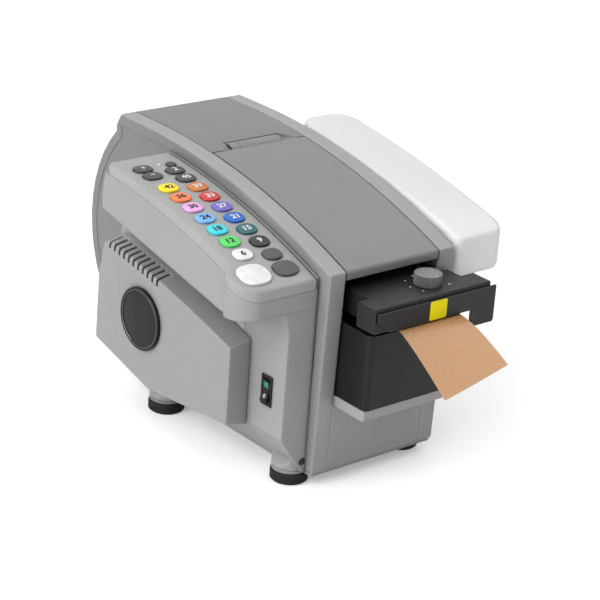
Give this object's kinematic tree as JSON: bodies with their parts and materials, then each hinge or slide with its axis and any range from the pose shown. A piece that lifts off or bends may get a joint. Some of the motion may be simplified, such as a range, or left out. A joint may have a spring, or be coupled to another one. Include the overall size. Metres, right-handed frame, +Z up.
{
  "type": "gummed tape dispenser",
  "caption": "Electric gummed tape dispenser with a curved keypad wing, hinged covers, tape roll, feed rollers, cutter, heated head, moistening tank and side bottle.",
  "frame": {"origin": "centre of the bottom of the whole object's bounding box, at the feet's lower faces", "axes": "+Z up, -Y is the front where the tape leaves, +X is the side of the water bottle"},
  "size_m": [0.31, 0.4961, 0.275],
  "materials": {
    "base_plate": "fine grained moulding",
    "bottle_cap": "black moulding",
    "brush_holder": "black moulding",
    "control_housing": "fine grained moulding",
    "cutter_blade": "bright steel",
    "cutter_solenoid": "black moulding",
    "drive_motor": "bright steel",
    "feed_frame": "plated sheet",
    "feed_wheel": "black rubber",
    "foot_front_left": "black rubber",
    "foot_front_right": "black rubber",
    "foot_rear_left": "black rubber",
    "foot_rear_right": "black rubber",
    "front_cover": "fine grained moulding",
    "front_panel": "fine grained moulding",
    "head_cover": "black moulding",
    "head_front_plate": "black moulding",
    "head_knob": "fluted grey moulding",
    "heater_plate": "bright steel",
    "key_12": "moulded key",
    "key_15": "moulded key",
    "key_18": "moulded key",
    "key_21": "moulded key",
    "key_24": "moulded key",
    "key_27": "moulded key",
    "key_30": "moulded key",
    "key_33": "moulded key",
    "key_36": "moulded key",
    "key_39": "moulded key",
    "key_42": "moulded key",
    "key_45": "moulded key",
    "key_6": "moulded key",
    "key_9": "moulded key",
    "key_double": "moulded key",
    "key_minus": "moulded key",
    "key_plus": "moulded key",
    "key_select": "moulded key",
    "key_small": "moulded key",
    "key_start": "moulded key",
    "key_stop": "moulded key",
    "keypad_bezel": "fine grained moulding",
    "left_body_shell": "fine grained moulding",
    "lid_hinge_pin": "bright steel",
    "mains_inlet": "black moulding",
    "moistening_brushes": "nylon bristles",
    "motor_pinion": "bright steel",
    "power_rocker": "black moulding",
    "pressure_roller": "black rubber",
    "rear_lid": "fine grained moulding",
    "right_body_shell": "fine grained moulding",
    "side_badge": "black moulding",
    "side_cover": "fine grained moulding",
    "status_led": "clear red lens",
    "switch_bezel": "black moulding",
    "tape_basket": "fine grained moulding",
    "tape_roll": "brown kraft paper",
    "tape_tongue": "brown kraft paper",
    "tape_web": "brown kraft paper",
    "water_bottle": "milky blown plastic",
    "water_tank": "black moulding"
  },
  "bodies": {
    "machine": {"base_plate": "base_plate", "foot_front_left": "foot_front_left", "foot_front_right": "foot_front_right", "foot_rear_left": "foot_rear_left", "foot_rear_right": "foot_rear_right", "left_body_shell": "left_body_shell", "right_body_shell": "right_body_shell", "front_panel": "front_panel", "tape_basket": "tape_basket", "feed_frame": "feed_frame", "drive_motor": "drive_motor", "cutter_solenoid": "cutter_solenoid", "control_housing": "control_housing", "side_cover": "side_cover", "keypad_bezel": "keypad_bezel", "status_led": "status_led", "side_badge": "side_badge", "switch_bezel": "switch_bezel", "mains_inlet": "mains_inlet", "lid_hinge_pin": "lid_hinge_pin", "tape_web": "tape_web", "tape_tongue": "tape_tongue"},
    "front_cover": {"front_cover": "front_cover"},
    "rear_lid": {"rear_lid": "rear_lid"},
    "heater_head": {"head_cover": "head_cover", "head_front_plate": "head_front_plate", "heater_plate": "heater_plate"},
    "head_knob": {"head_knob": "head_knob"},
    "tank": {"water_tank": "water_tank", "brush_holder": "brush_holder", "moistening_brushes": "moistening_brushes"},
    "bottle": {"water_bottle": "water_bottle", "bottle_cap": "bottle_cap"},
    "tape_roll": {"tape_roll": "tape_roll"},
    "feed_wheel": {"feed_wheel": "feed_wheel"},
    "pressure_roller": {"pressure_roller": "pressure_roller"},
    "motor_pinion": {"motor_pinion": "motor_pinion"},
    "cutter_blade": {"cutter_blade": "cutter_blade"},
    "power_rocker": {"power_rocker": "power_rocker"},
    "key_6": {"key_6": "key_6"},
    "key_9": {"key_9": "key_9"},
    "key_12": {"key_12": "key_12"},
    "key_15": {"key_15": "key_15"},
    "key_18": {"key_18": "key_18"},
    "key_21": {"key_21": "key_21"},
    "key_24": {"key_24": "key_24"},
    "key_27": {"key_27": "key_27"},
    "key_30": {"key_30": "key_30"},
    "key_33": {"key_33": "key_33"},
    "key_36": {"key_36": "key_36"},
    "key_39": {"key_39": "key_39"},
    "key_42": {"key_42": "key_42"},
    "key_45": {"key_45": "key_45"},
    "key_stop": {"key_stop": "key_stop"},
    "key_start": {"key_start": "key_start"},
    "key_select": {"key_select": "key_select"},
    "key_minus": {"key_minus": "key_minus"},
    "key_plus": {"key_plus": "key_plus"},
    "key_double": {"key_double": "key_double"},
    "key_small": {"key_small": "key_small"}
  },
  "joints": [
    {"name": "front_cover_hinge", "type": "hinge", "parent": "machine", "child": "front_cover", "pos_m": [0.007, 0.081, 0.25839], "axis": [-1, 0, 0], "range_deg": [0, 65]},
    {"name": "rear_lid_hinge", "type": "hinge", "parent": "machine", "child": "rear_lid", "pos_m": [0.007, 0.2, 0.264], "axis": [-1, 0, 0], "range_deg": [0, 95]},
    {"name": "head_lift", "type": "hinge", "parent": "machine", "child": "heater_head", "pos_m": [0.007, -0.108, 0.186], "axis": [-1, 0, 0], "range_deg": [0, 10]},
    {"name": "head_knob_turn", "type": "hinge", "parent": "heater_head", "child": "head_knob", "pos_m": [0.0325, -0.156, 0.1978], "axis": [0, 0, -1], "range_deg": [0, 270]},
    {"name": "tank_slide", "type": "slide", "parent": "machine", "child": "tank", "axis": [0, -1, 0], "range_m": [0, 0.06], "deforming": ["tape_tongue"]},
    {"name": "bottle_lift", "type": "slide", "parent": "machine", "child": "bottle", "axis": [0, 0, 1], "range_m": [0, 0.06]},
    {"name": "tape_roll_spin", "type": "hinge", "parent": "machine", "child": "tape_roll", "pos_m": [0.016, 0.1058, 0.1171], "axis": [1, 0, 0], "continuous": true},
    {"name": "feed_wheel_spin", "type": "hinge", "parent": "machine", "child": "feed_wheel", "pos_m": [0.016, -0.055, 0.15505], "axis": [1, 0, 0], "continuous": true},
    {"name": "pressure_roller_spin", "type": "hinge", "parent": "machine", "child": "pressure_roller", "pos_m": [0.016, -0.055, 0.18195], "axis": [1, 0, 0], "continuous": true},
    {"name": "motor_pinion_spin", "type": "hinge", "parent": "machine", "child": "motor_pinion", "pos_m": [-0.055, -0.02704, 0.12173], "axis": [1, 0, 0], "continuous": true},
    {"name": "cutter_blade_lift", "type": "slide", "parent": "machine", "child": "cutter_blade", "axis": [0, 0, 1], "range_m": [0, 0.008], "stiffness_N_per_m": 150},
    {"name": "power_rocker_tilt", "type": "hinge", "parent": "machine", "child": "power_rocker", "pos_m": [-0.0985, -0.0964, 0.097], "axis": [0, -1, 0], "range_deg": [0, 14]},
    {"name": "key_12_press", "type": "slide", "parent": "machine", "child": "key_12", "axis": [0, 0.2717, -0.9624], "range_m": [0, 0.0015], "stiffness_N_per_m": 400},
    {"name": "key_15_press", "type": "slide", "parent": "machine", "child": "key_15", "axis": [0, 0.257, -0.9664], "range_m": [0, 0.0015], "stiffness_N_per_m": 400},
    {"name": "key_18_press", "type": "slide", "parent": "machine", "child": "key_18", "axis": [0, 0.2476, -0.9689], "range_m": [0, 0.0015], "stiffness_N_per_m": 400},
    {"name": "key_21_press", "type": "slide", "parent": "machine", "child": "key_21", "axis": [0, 0.2329, -0.9725], "range_m": [0, 0.0015], "stiffness_N_per_m": 400},
    {"name": "key_24_press", "type": "slide", "parent": "machine", "child": "key_24", "axis": [0, 0.2235, -0.9747], "range_m": [0, 0.0015], "stiffness_N_per_m": 400},
    {"name": "key_27_press", "type": "slide", "parent": "machine", "child": "key_27", "axis": [0, 0.2088, -0.978], "range_m": [0, 0.0015], "stiffness_N_per_m": 400},
    {"name": "key_30_press", "type": "slide", "parent": "machine", "child": "key_30", "axis": [0, 0.1994, -0.9799], "range_m": [0, 0.0015], "stiffness_N_per_m": 400},
    {"name": "key_33_press", "type": "slide", "parent": "machine", "child": "key_33", "axis": [0, 0.1846, -0.9828], "range_m": [0, 0.0015], "stiffness_N_per_m": 400},
    {"name": "key_36_press", "type": "slide", "parent": "machine", "child": "key_36", "axis": [0, 0.1752, -0.9845], "range_m": [0, 0.0015], "stiffness_N_per_m": 400},
    {"name": "key_39_press", "type": "slide", "parent": "machine", "child": "key_39", "axis": [0, 0.1605, -0.987], "range_m": [0, 0.0015], "stiffness_N_per_m": 400},
    {"name": "key_42_press", "type": "slide", "parent": "machine", "child": "key_42", "axis": [0, 0.1511, -0.9885], "range_m": [0, 0.0015], "stiffness_N_per_m": 400},
    {"name": "key_45_press", "type": "slide", "parent": "machine", "child": "key_45", "axis": [0, 0.1364, -0.9907], "range_m": [0, 0.0015], "stiffness_N_per_m": 400},
    {"name": "key_6_press", "type": "slide", "parent": "machine", "child": "key_6", "axis": [0, 0.2959, -0.9552], "range_m": [0, 0.0015], "stiffness_N_per_m": 400},
    {"name": "key_9_press", "type": "slide", "parent": "machine", "child": "key_9", "axis": [0, 0.2811, -0.9597], "range_m": [0, 0.0015], "stiffness_N_per_m": 400},
    {"name": "key_double_press", "type": "slide", "parent": "machine", "child": "key_double", "axis": [0, 0.1145, -0.9934], "range_m": [0, 0.0015], "stiffness_N_per_m": 400},
    {"name": "key_minus_press", "type": "slide", "parent": "machine", "child": "key_minus", "axis": [0, 0.1184, -0.993], "range_m": [0, 0.0015], "stiffness_N_per_m": 400},
    {"name": "key_plus_press", "type": "slide", "parent": "machine", "child": "key_plus", "axis": [0, 0.098, -0.9952], "range_m": [0, 0.0015], "stiffness_N_per_m": 400},
    {"name": "key_select_press", "type": "slide", "parent": "machine", "child": "key_select", "axis": [0, 0.3303, -0.9439], "range_m": [0, 0.0015], "stiffness_N_per_m": 400},
    {"name": "key_small_press", "type": "slide", "parent": "machine", "child": "key_small", "axis": [0, 0.0982, -0.9952], "range_m": [0, 0.0015], "stiffness_N_per_m": 400},
    {"name": "key_start_press", "type": "slide", "parent": "machine", "child": "key_start", "axis": [0, 0.329, -0.9443], "range_m": [0, 0.0015], "stiffness_N_per_m": 400},
    {"name": "key_stop_press", "type": "slide", "parent": "machine", "child": "key_stop", "axis": [0, 0.3053, -0.9523], "range_m": [0, 0.0015], "stiffness_N_per_m": 400}
  ],
  "couplings": [
    {"joint": "feed_wheel_spin", "follows": "tape_roll_spin", "ratio": 5.9375},
    {"joint": "pressure_roller_spin", "follows": "tape_roll_spin", "ratio": -9.5},
    {"joint": "motor_pinion_spin", "follows": "tape_roll_spin", "ratio": -16.964}
  ]
}
